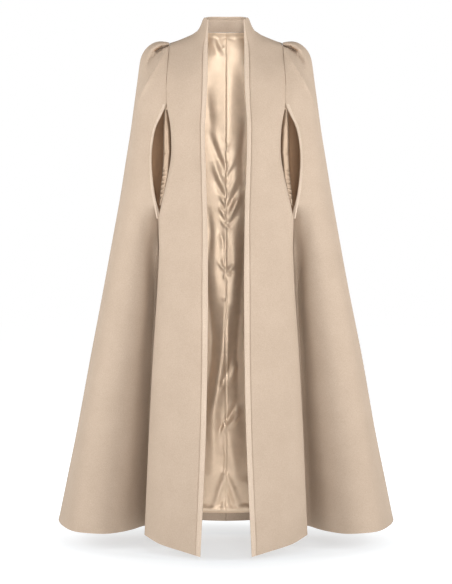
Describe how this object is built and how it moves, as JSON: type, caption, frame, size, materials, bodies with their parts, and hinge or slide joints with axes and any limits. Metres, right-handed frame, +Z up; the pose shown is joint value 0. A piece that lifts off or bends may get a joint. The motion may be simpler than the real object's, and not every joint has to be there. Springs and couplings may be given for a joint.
{
  "type": "wool cape coat",
  "caption": "Floor-length open-front cape coat of heavy wool, with a stand collar, puffed pleated shoulders, arm slits in the front seams and a satin lining",
  "frame": {"origin": "on the centre plane, on the shoulder line, at the height where the shoulders carry the garment", "axes": "+Z up, -Y towards the open front, +X towards the wearer's left"},
  "size_m": [0.982, 0.5536, 1.5059],
  "materials": {
    "wool": "camel melton wool, close felted nap, matt",
    "wool_edge": "the same wool, pressed, folded and stitched along an edge, a little lighter",
    "satin": "champagne satin lining, smooth, with a soft sheen"
  },
  "bodies": {
    "root": {"front_panel_left": "wool", "front_panel_right": "wool", "front_band_left": "wool_edge", "front_band_right": "wool_edge", "side_panel_left": "wool", "side_panel_right": "wool", "slit_lip_left": "wool_edge", "slit_lip_right": "wool_edge", "slit_lining_left": "satin", "slit_lining_right": "satin", "back_panel_left": "wool", "back_panel_right": "wool", "side_lining_left": "satin", "side_lining_right": "satin", "back_lining_left": "satin", "back_lining_right": "satin", "back_collar": "wool"}
  },
  "joints": []
}
